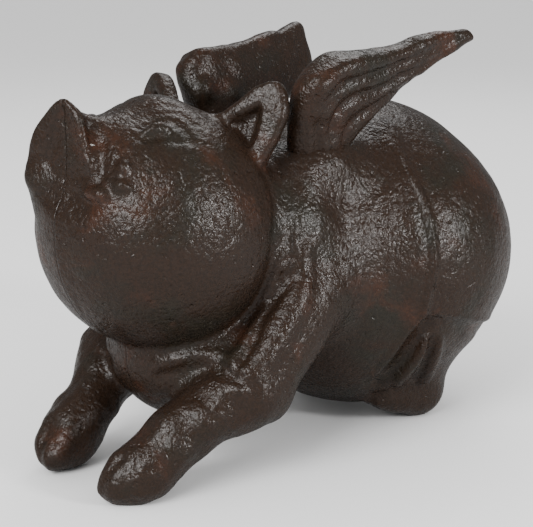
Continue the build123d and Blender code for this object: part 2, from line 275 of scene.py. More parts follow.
def place_relief(rows, depth, width, side=None, sharp=0.25):
    """A groove, or a ridge where the depth is negative, along rows of x, y, z. With a side it is a step:
    it runs out slowly on that side and sharply on the other."""
    points = smooth_rows(rows, 4)

    def relief(x, y, z):
        best = ahead = None
        for a, b in zip(points, points[1:]):
            dx, dy, dz = off_segment(a, b, x, y, z)[1]
            away = dx ** 2 + dy ** 2 + dz ** 2
            over = 1 if side is None else dx * side[0] + dy * side[1] + dz * side[2]
            if best is None:
                best, ahead = away, over
            else:
                closer = away < best
                best = np.where(closer, away, best)
                ahead = np.where(closer, over, ahead)
        reach = width if side is None else np.where(ahead > 0, width, width * sharp)
        return depth * np.exp(-best / reach ** 2)

    return relief, points.min(0) - 3 * width, points.max(0) + 3 * width


def lumps(points, size, seed):
    """Smooth random lumps between -1 and 1, about one size apart, the same each run."""
    lattice = np.random.default_rng(seed).uniform(-1, 1, (LATTICE_CELLS,) * 3)
    place = points / size + LATTICE_SHIFT
    base = np.floor(place).astype(int)
    part = ease(place - base)
    total = 0
    for corner in CORNERS:
        weight = 1
        for axis, far in enumerate(corner):
            weight = weight * (part[:, axis] if far else 1 - part[:, axis])
        cell = (base + corner) % LATTICE_CELLS
        total = total + weight * lattice[tuple(cell.T)]
    return total


def cast_lumps(points, table, seed, lumpy=0):
    """The lumps of the casting as a height. Each row of the table is their size, their height and what is
    added to it where the casting is lumpy."""
    return sum((height + more * lumpy) * lumps(points, size, seed + i)
               for i, (size, height, more) in enumerate(table))


# Flat forms with a drawn outline


def off_edge(start, end, a, b):
    """The square of the distance to an edge in its own plane."""
    (a0, b0), (wa, wb) = start, end - start
    share = np.clip(((a - a0) * wa + (b - b0) * wb) / (wa * wa + wb * wb), 0, 1)
    return (a - a0 - share * wa) ** 2 + (b - b0 - share * wb) ** 2


def outline_distance(points, a, b):
    """Distance to a closed outline in its own plane, below zero inside it."""
    best = inside = None
    for start, end in zip(points, np.roll(points, -1, axis=0)):
        away = off_edge(start, end, a, b)
        (a0, b0), (wa, wb) = start, end - start
        crossed = (b0 > b) != (end[1] > b)
        if wb:
            crossed = crossed & (a < a0 + wa * (b - b0) / wb)
        best = away if best is None else np.minimum(best, away)
        inside = crossed if inside is None else inside ^ crossed
    return np.where(inside, -1, 1) * np.sqrt(best)


def line_distance(rows, a, b):
    """Distance to an open line in its own plane."""
    points = smooth_rows(rows, 3)
    best = None
    for start, end in zip(points, points[1:]):
        away = off_edge(start, end, a, b)
        best = away if best is None else np.minimum(best, away)
    return np.sqrt(best)


def smooth_loop(points, steps=3):
    """A closed outline passed through smoothly."""
    points = np.array(points, float)
    return smooth_rows(np.vstack([points[-1:], points, points[:2]]), steps)[steps:-steps - 1]


def leaf(place, outline, half, middle=None, front=None, soft=2.0):
    """A flat form: place gives its origin and its ways along, up and out. Half is half its thickness, middle
    its bend and front what is taken off its outer face, each over the plane."""
    origin, along, up, out = (np.array(v, float) for v in place)
    points = smooth_loop(outline)

    def distance(x, y, z):
        x, y, z = x - origin[0], y - origin[1], z - origin[2]
        a = x * along[0] + y * along[1] + z * along[2]
        b = x * up[0] + y * up[1] + z * up[2]
        n = x * out[0] + y * out[1] + z * out[2]
        if middle:
            n = n - middle(a, b)
        thick = half(a, b)
        face = n - thick + (front(a, b) if front else 0)
        plate = -soften(-face, thick + n, soft)
        return -soften(-plate, -outline_distance(points, a, b), soft)

    corners = []
    for a, b in outline:
        bend = middle(a, b) if middle else 0
        for side in (-1, 1):
            corners.append(origin + along * a + up * b + out * (bend + side * half(a, b)))
    corners = np.array(corners)
    return distance, corners.min(0) - 1, corners.max(0) + 1


# Body


# Eggs have a middle and three radii, limbs rows of x, y, z and radius, all for the left half
BODY = ((0, 31.7, 46.1), (41, 44, 43.7))
HAUNCH = ((9, 34.9, 48), (35.8, 35.8, 35.8))
CHEST = ((0, -27.3, 30.1), (23, 22, 19))
HEAD = ((0, -38.3, 62.3), (30.3, 30.3, 30.3))
NECK = ((0, -38.3, 62.3, 22), (0, 31.7, 46.1, 37))
SHOULDER = ((20, -10, 60), (8.5, 9, 11))
FOREHEAD = ((0, -39.6, 80), (16, 11, 14.3))
SNOUT = ((0, -45, 68, 20), (0, -51, 75, 15))
MUZZLE = ((0, -56.5, 78), (10.8, 9.6, 7.6))
BRIDGE = ((0, -62.8, 89.6, 3), (0, -58.4, 86.2, 4.6), (0, -54, 82.6, 6.2), (0, -48, 79, 8))
WING_SEAT = ((17.8, 0.5, 75.2), (7.4, 12, 7.6))
UPPER_ARM = ((17, 0, 50, 10), (22, -9, 44, 11), (24.5, -19.4, 34, 9.5), (25.2, -29, 24.2, 7.8))
FOREARM = (
    (24.2, -27, 22.8, 8.6), (23.1, -32, 23.2, 9.6), (20.3, -41, 18.8, 8.3), (17.6, -49.2, 13.2, 7.6),
    (15.4, -56, 7.8, 8), (13.9, -61, 5.5, 5.8), (13, -64, 4.2, 3.6))
HIND_LEG = ((21.5, 35.6, 30, 11.5), (18.5, 38.2, 8.2, 8.6))
HIND_FOOT = ((18.5, 38, 8.4, 8.4), (19, 30.5, 8.9, 6.9), (18.7, 23, 9, 4))
FAR_ELBOW = ((25.2, -35, 22.4), (9.2, 9.2, 9.4))
TAIL = (
    (0.5, 76.5, 62.6, 2), (3.4, 74.6, 63.6, 2.1), (5, 72.8, 66.6, 2.1), (3.2, 70.9, 69.6, 2.1),
    (-0.6, 70.6, 70.4, 2), (-3.6, 72.2, 68.4, 1.9), (-3.8, 74.4, 65.4, 1.8), (-1.2, 76.4, 64.6, 1.6),
    (1.2, 76.9, 66.6, 1.2), (0.4, 76.6, 68.2, 0.8))
EYELID = (
    (12.4, -51.8, 86.8, 0.6), (12.5, -50.4, 87.6, 1.5), (13, -48.9, 88.1, 1.9), (13.8, -47.6, 88.1, 1.6),
    (15, -46.6, 87.6, 0.6))
ARM_RIDGES = (
    ((24.5, -20, 58, 0.4), (25.5, -21.5, 53, 0.9), (25, -24, 47.5, 1.3), (24.3, -27, 42, 1.4),
     (24.3, -31, 37, 1.3), (24, -35.5, 33.5, 0.8)),
    ((26, -17, 60, 0.4), (27.5, -18.5, 53.5, 1.1), (27.5, -21, 48, 1.6), (27, -24, 43.5, 1.9),
     (26.4, -28, 39, 1.9), (26.2, -32, 35, 1.8), (26.6, -36, 31, 1.1)),
    ((28, -15.5, 57, 0.4), (29, -16, 52.5, 1), (29.6, -17.5, 48.5, 1.8), (30.2, -21.5, 43, 2.6),
     (30.3, -25, 39, 2.8), (30, -29, 34.5, 2.7), (29.7, -33.5, 30, 2), (29, -37, 26.5, 1)))
HIND_RIDGES = (
    ((38.6, 20.5, 31.5, 1.1), (37, 20.5, 27.5, 1.7), (34.2, 20.8, 22.5, 2.1), (31, 20, 18, 2.2),
     (28.6, 21, 14, 1.6)),
    ((38, 25.5, 28.5, 0.9), (36, 27, 23.5, 1.6), (33, 28.8, 18.5, 1.9), (29.8, 31, 13.5, 1.8)))
# The clay that both halves share, in the order in which it grows, each form with its fillet
BODY_BLOCK = ((-4, -80, -3), (48, 79, 106))
BODY_FORMS = (
    (egg(*BODY), 0), (egg(*HAUNCH), 2), (limb(NECK, 1), 8), (egg(*CHEST), 4), (limb(HIND_LEG, 1), 3),
    (limb(HIND_FOOT), 2), (limb(UPPER_ARM), 8), (limb(FOREARM), 3), (egg(*HEAD), 2.5), (egg(*SHOULDER), 5),
    (egg(*FOREHEAD), 4), (limb(SNOUT), 5), (egg(*MUZZLE), 4), (limb(BRIDGE), 3), (egg(*WING_SEAT), 8))
# Ridges are laid on the skin after that, each with its fillet
RIDGES = ((ARM_RIDGES[0], 2.2), (ARM_RIDGES[1], 2.2), (ARM_RIDGES[2], 4.0), (HIND_RIDGES[0], 1.6),
          (HIND_RIDGES[1], 1.6), (EYELID, 0.9))
# Creases are rows of x, y, z, a depth (a ridge below zero), a width and, for a step, the side it runs out to
FRONT = (0, -1, 0)
HAUNCH_EDGE = (
    (28, 20.5, 76.5), (32, 19.5, 71.5), (36.5, 19.5, 65), (40.5, 19, 54), (41, 18.5, 47.5),
    (40, 17.5, 41), (39, 17.5, 36.5))
HAUNCH_STEP = 1.9
BESIDE_HAUNCH_EDGE = tuple((x, y - HAUNCH_STEP, z) for x, y, z in HAUNCH_EDGE)
CREASES = (
    (((20, 25, 83), (24, 23, 80.5)) + HAUNCH_EDGE, -0.8, 4.5, FRONT),
    (HAUNCH_EDGE, -0.6, 0.9),
    (BESIDE_HAUNCH_EDGE, 0.5, 1.1),
    (((39, 17.5, 37.0), (41, 24, 36.0), (41.5, 31.5, 34), (39.5, 42, 31.5), (35, 53, 28)), -0.55, 1.1),
    (((38.8, 19, 34.5), (40.6, 25, 33), (41, 31.5, 30.5), (39, 41, 28.0), (34, 52, 25)), 1.0, 2.3),
    (((37.5, 19.8, 32.5), (35.4, 17.6, 27), (31.6, 16.8, 21), (25.5, 15.8, 15)), 2.2, 2.4),
    (((38.6, 17, 36), (36.3, 15.5, 32.5), (33.8, 14.3, 28), (31.7, 13.8, 24), (27, 13, 18.5)), -0.6, 1.3),
    (((37.2, 23.4, 28.5), (35.2, 24.3, 24), (31.8, 25.5, 18), (29.5, 26.5, 14)), 0.7, 1.5),
    (((26.2, -20.8, 51), (25.6, -23.5, 46), (25, -28, 39.5), (25, -33.5, 34)), 0.9, 1.0),
    (((28.8, -18.5, 49.5), (28.8, -24.5, 40.5), (28.4, -29, 36), (28.2, -35, 30)), 1.3, 1.1),
    (((22.5, -23.5, 78), (24.5, -22, 70), (27, -25.5, 58.5), (24.5, -26, 48), (21, -30.5, 39.5),
      (19.5, -37, 36), (14, -43, 34)), 0.8, 1.7),
    (((23.2, -20.5, 56), (23.6, -22.5, 50), (22.4, -26, 43), (20.6, -31.5, 38), (18.5, -36.5, 35)),
     -0.5, 1.2),
    (((10, -47, 30), (13, -45.5, 31.5), (16, -42.5, 33.5), (19.5, -38.5, 33.5), (22.5, -36.5, 32.5),
      (28, -35.5, 30.5)), -0.8, 1.7),
    (((11, -48.5, 27), (14.5, -47, 28.5), (18, -44, 30.5), (22, -40.5, 30), (26, -38.5, 29), (30, -35, 27)),
     0.8, 1.8),
    (((11, -50.8, 88.5), (10.8, -47.4, 90.2), (13.0, -44.0, 90.0), (16, -42.7, 88.1), (19, -43.4, 85.6)),
     0.8, 1.4),
    (((12.4, -52.6, 85.6), (14.6, -50.4, 86.0), (16.0, -48.2, 86.2), (17.6, -46.2, 85.6)), 0.7, 1.1),
    (((8.0, -50.5, 90.6), (9.0, -46.5, 92.0), (12.0, -41.5, 92.2), (16.5, -39.5, 89.6)), 0.45, 1.1),
    (((5.0, -50.5, 91.4), (6.0, -46.0, 93.2), (9.5, -40.0, 93.6)), 0.4, 1.2),
    (((20.5, -56.5, 75.5), (22.5, -55.2, 72.0), (23.0, -54.8, 68)), 0.35, 3.0),
    (((13.2, -69, 0), (13.4, -68.2, 4), (14.2, -66, 8), (15.2, -63, 11.5)), 1.1, 1.2),
    (((18.7, 19, 0), (18.7, 19, 6), (18.9, 22, 13)), 0.9, 1.2),
)

# The snout: its outlines lie across it, with the pig's left at + and the height above the floor
SNOUT_TURN = 13
SNOUT_LEDGE = 76.0
SNOUT_MIDDLE = (0, -63.1, 0)
SNOUT_OUTLINE = (
    (0, 95.4), (1.9, 94.2), (3.9, 92.2), (5.1, 90), (5.8, 87.2), (6.5, 84.2), (7.7, 81.9), (9.1, 80),
    (10.2, 77.8), (9.6, 75), (6.5, 73.2), (0, 72.4), (-6.8, 73.2), (-10.8, 76.2), (-12.6, 80),
    (-12.2, 84), (-10.6, 87.4), (-8, 90.4), (-5, 93), (-2.2, 94.9))
SNOUT_DISC = (
    (0, 94.4), (1.5, 93.2), (3, 91.2), (3.8, 89.2), (4.4, 87), (5, 84.2), (6.2, 81.8), (7.4, 79.8),
    (8, 77.8), (5.6, 76), (0, 75.4), (-5, 76.4), (-7.6, 79.6), (-7.4, 82.2), (-6.4, 84.4), (-5.1, 88),
    (-3, 92), (-1.3, 94))
SNOUT_THIN, SNOUT_THICK, SNOUT_TAPER, SNOUT_TAPER_FROM = 0.7, 2.6, 0.19, 85
SNOUT_SOFT, SNOUT_FILLET = 0.9, 1.6
DISH_DEPTH, DISH_EDGE = 1.0, 1.8
RIM_FALL_NEAR, RIM_FALL_FAR, RIM_CHANGE = 0.3, 0.16, 5
# What is cleared away ahead of the snout before its disc goes on
CLEARING_AHEAD, CLEARING_HALF, CLEARING_WIDER, CLEARING_LOWER = 7.4, 6.0, 1.3, 9
CLEARING_SOFT, CLEARING_FILLET = 2.5, 2.0
LEAN_BELOW, LEAN_BELOW_SQUARE, LEAN_BESIDE_SQUARE, LEAN_BESIDE_FROM = 0.30, 0.045, 0.14, 8
CHIN = ((-3.5, -60, 72), (11.6, 5.9, 8.5))
LIP_CORNERS = (((-10.4, -65, 76), (3.4, 3.8, 3)), ((-8.5, -62.5, 71.5), (5, 4.4, 5.5)))
CHEEK_BUMPS = (((15.6, -60.6, 80.8), (1.7, 1.5, 2.1)), ((15.2, -60.8, 76.4), (2.1, 1.5, 1.5)))
LIP_BUMP = ((9.4, -64.8, 74.4), (4.4, 2.2, 1.9))
CHIN_LINE = ((0.5, -66, 73), (0.6, -68.4, 62), (0.6, -65, 48), (0.5, -58, 39))
CHIN_FILLET, LIP_FILLET, BUMP_FILLET = 5, 4, 1.2
CHIN_LINE_DEPTH, CHIN_LINE_WIDTH = -0.25, 4.5
SNOUT_CREASES = {
    1: ((((5.6, -60.5, 89.6), (8.0, -61.2, 86.0), (9.4, -61.8, 82.6), (10.6, -62.4, 79.4)), 1.7, 1.8),
        (((3.4, -66, 84.4), (3.5, -66, 83.6)), 0.3, 0.8)),
    -1: ((((3.0, -66, 84.8), (3.1, -66, 84.0)), 0.3, 0.8),),
}

# Each ear: its place with the ways along, up and out, its outline and the outline of its cup
EAR_ROOT = (16, -24.75, 83.7)
EARS = {
    1: ((EAR_ROOT, (0.647, 0.202, -0.735), (0.550, 0.545, 0.633), (0.528, -0.814, 0.242)),
        ((-8.4, -5), (-8.4, 0.7), (-8.0, 5.8), (-8.0, 10.3), (-7.0, 13.9), (-5.0, 15.9), (-2.0, 15.4),
         (1.6, 13.2), (4.0, 9.8), (5.8, 6.4), (7.5, 2.3), (8.2, -0.4), (8.2, -5)),
        ((-5.2, -1.0), (-5.0, 4.4), (-4.4, 7.8), (-3.2, 9.4), (-0.9, 7.6), (1.4, 4.7),
         (3.2, 1.6), (3.8, -1.6))),
    -1: ((EAR_ROOT, (0.745, 0.027, -0.670), (0.449, 0.334, 0.826), (0.252, -0.938, 0.243)),
         ((-9.3, -5), (-9.3, 0.5), (-8.6, 5.8), (-7.9, 10.7), (-6.6, 14.2), (-4.2, 16), (-1.2, 15.5),
          (2.2, 13.5), (4.8, 10.2), (6.4, 6.8), (7.8, 2.6), (8.4, -1), (8.4, -5)),
         ((-6.4, -1.0), (-6.0, 4.6), (-5.2, 8.6), (-3.6, 10.8), (-0.9, 9.4), (1.6, 6.2),
          (3.6, 2.4), (4.4, -1.6))),
}
EAR_HALF, EAR_SOFT, EAR_FILLET = 2.4, 1.5, 1.5
CUP_DEPTH, CUP_EDGE = 2.6, 1.8

TAIL_FILLET, ELBOW_FILLET = 0.8, 4
SCREW_HOLES = ((25.3, -38.3, 62.3), (30.46, 14.7, 32.1), (30.2, 53.7, 51.1))
LUMPY = ((25, -33, 24), (20, -41, 19), (17, -50, 14), (14, -60, 7))
SCREW_HOLE_RADIUS, SCREW_HOLE_FILLET = 4.1, 0.4
LUMPY_WIDTH, LUMPY_RISE = 13, 1.6
# Lumps of the casting: their size, their height and what is added where it is lumpy
BODY_LUMPS = ((6.5, 0.14, 0.85), (3.1, 0.07, 0.30))
# Within this distance of the middle plane the lumps die away, so that the halves meet
SEAM_REACH = 2


def flat(value):
    """The same value all over a flat form."""
    return lambda a, b: value + 0 * (a + b)


def sculpt_body(step):
    """The left half of the pig in clay, with a little over the middle plane."""
    clay = Clay(*BODY_BLOCK, step)
    for form, fillet in BODY_FORMS:
        clay.add(form, fillet)
    for ridge, fillet in RIDGES:
        rows = np.array(ridge)
        rows[:, :3] = clay.settle(rows[:, :3])
        clay.add(limb(rows), fillet)
    press_all(clay, CREASES)
    return clay


def press_all(clay, creases):
    """Sinks grooves and raises edges along their rows."""
    for rows, depth, width, *side in creases:
        clay.press(place_relief(clay.settle(rows), depth, width, *side))


def shape_ear(clay, side):
    """The upright ear of one side, with its cup."""
    place, outline, cup = EARS[side]
    cup = smooth_loop(cup)

    def hollow(a, b):
        return CUP_DEPTH * ease(np.clip(-outline_distance(cup, a, b) / CUP_EDGE, 0, 1))

    clay.add(leaf(place, outline, flat(EAR_HALF), front=hollow, soft=EAR_SOFT), EAR_FILLET)


def shape_snout(clay, side):
    """The flared disc of the snout, turned a little towards the pig's left, with the mouth under it."""
    turn = radians(SNOUT_TURN) * side
    out = np.array((sin(turn), -cos(turn), 0))
    ways = ((cos(turn), sin(turn), 0), (0, 0, 1), out)
    flip = np.array((side, 1, 1))
    disc = smooth_loop([(a * side, b) for a, b in SNOUT_DISC])
    outline = [(a * side, b) for a, b in SNOUT_OUTLINE]
    clearing = [(a * CLEARING_WIDER, b if b > SNOUT_LEDGE else b - CLEARING_LOWER) for a, b in outline]

    def front(a, b):
        away = outline_distance(disc, a, b)
        near = np.clip(0.5 + side * a / RIM_CHANGE, 0, 1)
        dish = DISH_DEPTH * ease(np.clip(-away / DISH_EDGE, 0, 1))
        return dish + (RIM_FALL_NEAR * near + RIM_FALL_FAR * (1 - near)) * np.maximum(away, 0)

    def half(a, b):
        return np.clip(SNOUT_THICK - SNOUT_TAPER * (b - SNOUT_TAPER_FROM), SNOUT_THIN, SNOUT_THICK) + 0 * a

    def middle(a, b):
        return SNOUT_THICK - half(a, b)

    def lean(a, b):
        below = np.maximum(SNOUT_LEDGE - b, 0)
        beside = np.maximum(side * a - LEAN_BESIDE_FROM, 0)
        return LEAN_BELOW * below + LEAN_BELOW_SQUARE * below ** 2 + LEAN_BESIDE_SQUARE * beside ** 2

    clay.add(egg(CHIN[0] * flip, CHIN[1]), CHIN_FILLET)
    ahead = (SNOUT_MIDDLE + CLEARING_AHEAD * out,) + ways
    clay.cut(leaf(ahead, clearing, flat(CLEARING_HALF), middle=lean, soft=CLEARING_SOFT), CLEARING_FILLET)
    place = (SNOUT_MIDDLE,) + ways
    clay.add(leaf(place, outline, half, middle=middle, front=front, soft=SNOUT_SOFT), SNOUT_FILLET)
    for centre, radii in LIP_CORNERS:
        clay.add(egg(centre * flip, radii), LIP_FILLET)
    for centre, radii in CHEEK_BUMPS + ((LIP_BUMP,) if side > 0 else ()):
        clay.add(egg(clay.settle([centre])[0], radii), BUMP_FILLET)
    press_all(clay, SNOUT_CREASES[side])
    rows = clay.settle(np.array(CHIN_LINE) * flip)
    clay.press(place_relief(rows, CHIN_LINE_DEPTH, CHIN_LINE_WIDTH, (-side, 0, 0)))


def finish_side(clay, side, seed):
    """One half of the body from the shared clay: ear, snout, its part of the tail, and the casting's lumps.
    On the far side come the fuller elbow and the holes for the tie screws."""
    if side < 0:
        clay.add(egg(*FAR_ELBOW), ELBOW_FILLET)
    shape_ear(clay, side)
    shape_snout(clay, side)
    clay.add(limb(np.array(TAIL) * (side, 1, 1, 1)), TAIL_FILLET)
    for place in SCREW_HOLES if side < 0 else ():
        clay.cut(bore(place, SCREW_HOLE_RADIUS), SCREW_HOLE_FILLET)
    vertices, quads = clay.skin()
    out = clay.outward(vertices) * (side, 1, 1)
    lumpy = line_spread(vertices, LUMPY, LUMPY_WIDTH)
    vertices = vertices * (side, 1, 1)
    height = cast_lumps(vertices, BODY_LUMPS, seed, lumpy)
    height *= np.clip(np.abs(vertices[:, 0]) / SEAM_REACH, 0, 1)
    return vertices + out * height[:, None], quads if side > 0 else quads[:, ::-1]


def line_spread(points, line, width):
    """One on a line and falling to nothing a width away from it."""
    line = np.array(line, float)
    best = np.full(len(points), np.inf)
    for start, end in zip(line, line[1:]):
        away = np.sqrt(sum(step ** 2 for step in off_segment(start, end, *points.T)[1]))
        best = np.minimum(best, away)
    return np.clip(LUMPY_RISE - LUMPY_RISE * best / width, 0, 1)


# Wings


# A wing's place is its origin and its ways along, up and out; its outline and lines lie in that plane
WING_ALONG = (0, 0.974, 0.225)
LEFT_WING_PLACE = ((20, 10, 92), WING_ALONG, (0.252, -0.217, 0.941), (0.965, 0.057, -0.245))
RIGHT_WING_PLACE = tuple((-x, y, z) for x, y, z in LEFT_WING_PLACE)
LEFT_WING_OUTLINE = (
    (-20, -20), (-21, -14), (-23.3, -8.5), (-23.2, -1), (-22, 5), (-19.8, 9.4), (-16.2, 11.8),
    (-13, 13.2), (-9.5, 14), (-5.5, 14), (3, 12.7), (9.5, 12), (14.5, 12), (19.5, 12.5), (28, 12.5),
    (33.5, 12), (36, 11.5), (37.5, 9.5), (37, 8), (34, 7), (27.5, 5), (22, 3.5), (16.2, 1.5), (9, -1.5),
    (3.8, -4), (-1.2, -6.8), (-5.2, -9.8), (-6.2, -14), (-3.5, -20))
RIGHT_WING_OUTLINE = (
    (-17, -20), (-18, -14), (-20.5, -6), (-22, 1), (-22.5, 4.5), (-22, 7.5), (-21, 10), (-19.5, 12.5),
    (-17, 14), (-14, 15), (-3.5, 13.5), (6, 13), (15, 13.5), (18.5, 13), (20.5, 12.5), (25, 13),
    (30.8, 13.4), (33.2, 10.8), (32.6, 6.5), (32, 1.5), (29.5, -3.5), (20, -6.5), (10, -8), (2, -9.5),
    (-3, -11), (-6, -14.5), (-7, -20))
# Feather lines are rows with a depth (a ridge below zero) and a width
LEFT_FEATHERS = (
    (((-17.2, -9), (-17.8, 0), (-15.2, 6.6), (-9, 8.6), (3.5, 8.3), (13.5, 8.6), (22, 9.2),
      (30, 10)), 1, 1.3),
    (((-13.2, -12), (-13.8, -3), (-10.8, 2.4), (-4.5, 4.2), (3.5, 3.6), (15.5, 5.4), (26, 7)), 1, 1.3),
    (((-9.4, -12), (-9.4, -6), (-6, -2.2), (0.5, -0.8), (9, 0.6), (17, 2.6)), 0.8, 1.4))
RIGHT_FEATHERS = (
    (((-15, 8), (-7, 8.6), (3.5, 8.2), (13.5, 8.8), (24, 9.8)), -0.5, 2),
    (((-13, 1.5), (-6, 2.4), (1, 1.6), (12, 2.8)), -0.5, 2))
# Bumps are a place along, up and out, and a radius
LEFT_BUMPS = ((-16.0, 8.6, 1.6, 3.2), (-16.4, 3.2, 2.2, 2.8), (-13.0, -8.0, 0.6, 4.8))
RIGHT_BUMPS = ((-18.2, 4.0, -2.6, 3.4), (-9.0, 1.0, -2.2, 3.2), (-5.0, 7.5, -1.8, 3.0))
# Half the thickness at distances from the front end
WING_STATIONS = (0, 1, 3, 6, 10, 18, 37, 56)
WING_HALVES = (1.0, 2.2, 3.6, 4.6, 5.1, 5.0, 3.6, 2.3)
WING_SOFT, WING_BUMP_FILLET, WING_ROOM = 3.4, 2.5, 3
# The sweep: flat up to one place, and from there a start, a slope and a curve
SWEEP_FLAT, SWEEP_FROM = -14, 12
SWEEP_START, SWEEP_SLOPE, SWEEP_CURVE = 0.5, 0.09, 0.0012
WING_LUMPS = ((6.5, 0.32, 0), (2.8, 0.14, 0))


def wing_middle(a, b):
    """How far a wing's middle sweeps out along its length."""
    back = np.maximum(a, SWEEP_FLAT) + SWEEP_FROM
    return SWEEP_START + SWEEP_SLOPE * back + SWEEP_CURVE * back ** 2


def sculpt_wing(place, outline, lines, bumps, step, seed):
    """One wing in clay, with its wrist, its feather lines and the lumps of the casting."""
    origin, along, up, out = (np.array(v, float) for v in place)
    nose = min(a for a, b in outline)

    def half(a, b):
        return np.interp(a - nose, WING_STATIONS, WING_HALVES) + 0 * b

    def feather_lines(a, b):
        return sum(depth * np.exp(-(line_distance(rows, a, b) / width) ** 2) for rows, depth, width in lines)

    form = leaf(place, outline, half, middle=wing_middle, front=feather_lines, soft=WING_SOFT)
    clay = Clay(form[1] - WING_ROOM, form[2] + WING_ROOM, step)
    clay.add(form)
    for a, b, n, radius in bumps:
        centre = origin + along * a + up * b + out * (n + wing_middle(a, b))
        clay.add(egg(centre, (radius, radius, radius)), WING_BUMP_FILLET)
    vertices, quads = clay.skin()
    return vertices + clay.outward(vertices) * cast_lumps(vertices, WING_LUMPS, seed)[:, None], quads


# Mesh building


CUT_TOLERANCE = 1e-7


def mesh_object(name, vertices, faces):
    """A new smooth mesh object in the row frame, from millimetres measured from the sculpting origin."""
    mesh = bpy.data.meshes.new(name)
    mesh.from_pydata(((np.asarray(vertices) + SCULPT_ORIGIN) * MM).tolist(), [], np.asarray(faces).tolist())
    mesh.validate()
    mesh.polygons.foreach_set("use_smooth", [True] * len(mesh.polygons))
    mesh.update()
    thing = bpy.data.objects.new(name, mesh)
    bpy.context.scene.collection.objects.link(thing)
    return thing


def trim(thing, point, normal):
    """Cuts away what lies on the normal's side of a plane and closes the mesh there."""
    form = bmesh.new()
    form.from_mesh(thing.data)
    whole = form.verts[:] + form.edges[:] + form.faces[:]
    made = bmesh.ops.bisect_plane(form, geom=whole, dist=CUT_TOLERANCE, plane_co=Vector(point),
                                  plane_no=Vector(normal), clear_outer=True)
    edges = [g for g in made["geom_cut"] if isinstance(g, bmesh.types.BMEdge) and g.is_valid]
    filled = bmesh.ops.triangle_fill(form, use_beauty=True, edges=edges, normal=Vector(normal))
    for face in filled["geom"]:
        if isinstance(face, bmesh.types.BMFace):
            face.smooth = False
    bmesh.ops.recalc_face_normals(form, faces=form.faces[:])
    form.to_mesh(thing.data)
    form.free()


# Node building


class Bench:
    """Adds nodes to a tree and links them."""

    def __init__(self, tree):
        self.tree = tree

    def feed(self, node, name, value):
        """Gives a node's input a value, or links a socket to it."""
        if isinstance(value, bpy.types.NodeSocket):
            self.tree.links.new(value, node.inputs[name])
        else:
            node.inputs[name].default_value = value

    def node(self, kind, inputs=(), **settings):
        """A node of a kind, with its settings and its inputs, each a value or a socket to link."""
        made = self.tree.nodes.new("ShaderNode" + kind)
        for name, value in settings.items():
            setattr(made, name, value)
        for name, value in dict(inputs).items():
            self.feed(made, name, value)
        return made

    def noise(self, place, scale, detail=2.0, roughness=0.5, distortion=0.0):
        """A noise value at a scale in waves a metre."""
        made = self.node("TexNoise", {"Vector": place, "Scale": scale, "Detail": detail,
                                      "Roughness": roughness, "Distortion": distortion})
        return made.outputs["Fac"]

    def spread(self, value, low, high, bottom=0.0, top=1.0):
        """Maps a value from one range to another, smoothly."""
        made = self.node("MapRange", {"Value": value, "From Min": low, "From Max": high, "To Min": bottom,
                                      "To Max": top}, interpolation_type="SMOOTHSTEP")
        return made.outputs["Result"]

    def sum(self, kind, a, b):
        """One arithmetic step on two values."""
        made = self.node("Math", {0: a, 1: b}, operation=kind)
        return made.outputs["Value"]

    def mix(self, share, a, b):
        """A colour between two colours."""
        made = self.node("Mix", {"Factor": share, 6: a, 7: b}, data_type="RGBA")
        return made.outputs[2]

    def give(self, values):
        """Gives a node group its outputs, a socket for each value."""
        for label in values:
            self.tree.interface.new_socket(label, in_out="OUTPUT", socket_type="NodeSocketFloat")
        made = self.tree.nodes.new("NodeGroupOutput")
        for label, value in values.items():
            self.feed(made, label, value)


def new_group(name, inputs):
    """A new node group: the bench for its nodes, the sockets of its inputs and the place on the object."""
    group = bpy.data.node_groups.new(name, "ShaderNodeTree")
    for label, value in inputs.items():
        socket = group.interface.new_socket(label, in_out="INPUT", socket_type="NodeSocketFloat")
        socket.default_value = value
    bench = Bench(group)
    return bench, group.nodes.new("NodeGroupInput").outputs, bench.node("TexCoord").outputs["Object"]


# Effects: noises have waves a metre, ranges are where a mask begins and is full


BROAD_WAVES, FINE_WAVES, PIT_WAVES = 260, 2600, 420
BROAD_SHARE, FINE_SHARE = 1.3, 0.22
PIT_RANGE = (0.66, 0.74)
PATCH_WAVES, GREY_WAVES, SPECKLE_WAVES = 62, 48, 1500
RUST_START, RUST_FULL, RUST_SPREAD = 0.62, 0.72, 0.2
GREY_RANGE, SPECKLE_RANGE = (0.47, 0.68), (0.35, 0.7)
GREY_SHIFT = (0.37, 0.19, 0.53)


def cast_skin_group():
    """The pebbled skin of sand-cast iron under thick paint, as a height and a grain mask."""
    bench, given, place = new_group("cast iron skin", {"Grain Size": 1.1, "Pits": 0.5})
    scale = bench.sum("DIVIDE", 1 / MM, given["Grain Size"])
    grain = bench.noise(place, scale, detail=2.5, roughness=0.55)
    broad = bench.noise(place, BROAD_WAVES)
    fine = bench.noise(place, FINE_WAVES, detail=1.0)
    pits = bench.spread(bench.noise(place, PIT_WAVES, detail=1.0, roughness=0.4), *PIT_RANGE)
    height = bench.sum("ADD", grain, bench.sum("MULTIPLY", broad, BROAD_SHARE))
    height = bench.sum("ADD", height, bench.sum("MULTIPLY", fine, FINE_SHARE))
    height = bench.sum("SUBTRACT", height, bench.sum("MULTIPLY", pits, given["Pits"]))
    bench.give({"Height": height, "Grain": grain})


